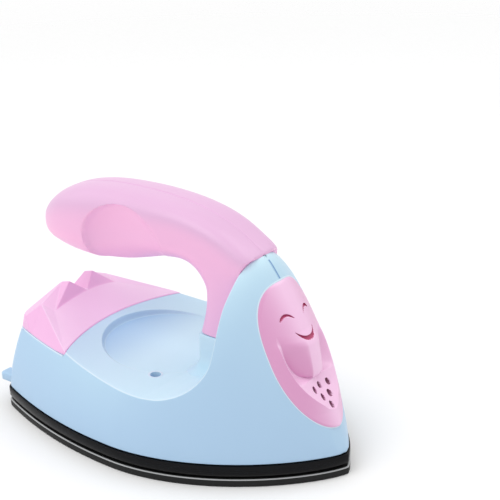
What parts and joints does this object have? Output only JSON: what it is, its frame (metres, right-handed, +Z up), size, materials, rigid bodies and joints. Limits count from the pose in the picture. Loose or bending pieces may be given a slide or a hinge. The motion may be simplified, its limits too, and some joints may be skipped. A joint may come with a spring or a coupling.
{
  "type": "mini craft iron",
  "caption": "Small cordless craft iron: flat pointed sole, low housing with dished deck and nose tower, curved handle held at the front only.",
  "frame": {"origin": "middle of the sole's ironing face, halfway between heel and nose tip", "axes": "+X toward the nose, +Z up from the ironing face, middle plane at y = 0"},
  "size_m": [0.1235, 0.0766, 0.078],
  "materials": {
    "sole": "matte",
    "ring": "matte",
    "skirt": "gloss",
    "housing": "satin",
    "handle": "satin",
    "nose": "satin",
    "rear": "satin",
    "heater": "satin",
    "mica": "matte",
    "steel": "brushed",
    "screws": "satin",
    "thermostat": "matte",
    "fuse": "satin",
    "block": "matte",
    "pins": "polished",
    "springs": "satin",
    "board": "satin",
    "lamp": "gloss",
    "lead_white": "matte",
    "lead_black": "matte",
    "lead_red": "matte"
  },
  "bodies": {
    "iron": {"sole_plate": "sole", "insulating_ring": "ring", "base_skirt": "skirt", "housing_shell": "housing", "handle_left": "handle", "handle_right": "handle", "nose_cover": "nose", "rear_cover": "rear", "heater_plate": "heater", "mica_sheet": "mica", "heater_clamp": "steel", "heater_screw_1": "screws", "heater_screw_2": "screws", "thermostat": "thermostat", "thermal_fuse": "fuse", "contact_block": "block", "contact_spring_left": "springs", "contact_spring_right": "springs", "lamp_board": "board", "indicator_lamp": "lamp", "lead_supply": "lead_white", "lead_return": "lead_black", "lead_heater": "lead_white", "lead_lamp": "lead_red", "deck_screw_1": "screws", "deck_screw_2": "screws", "base_screw_1": "screws", "base_screw_2": "screws", "base_screw_3": "screws", "handle_screw_1": "screws", "handle_screw_2": "screws", "cover_screw_1": "screws", "cover_screw_2": "screws"},
    "pin_left": {"contact_pin_left": "pins"},
    "pin_right": {"contact_pin_right": "pins"}
  },
  "joints": [
    {"name": "pin_left_slide", "type": "slide", "parent": "iron", "child": "pin_left", "axis": [1, 0, 0], "range_m": [0, 0.0012], "stiffness_N_per_m": 400, "springref_m": -0.0008, "deforming": ["contact_spring_left"]},
    {"name": "pin_right_slide", "type": "slide", "parent": "iron", "child": "pin_right", "axis": [1, 0, 0], "range_m": [0, 0.0012], "stiffness_N_per_m": 400, "springref_m": -0.0008, "deforming": ["contact_spring_right"]}
  ]
}
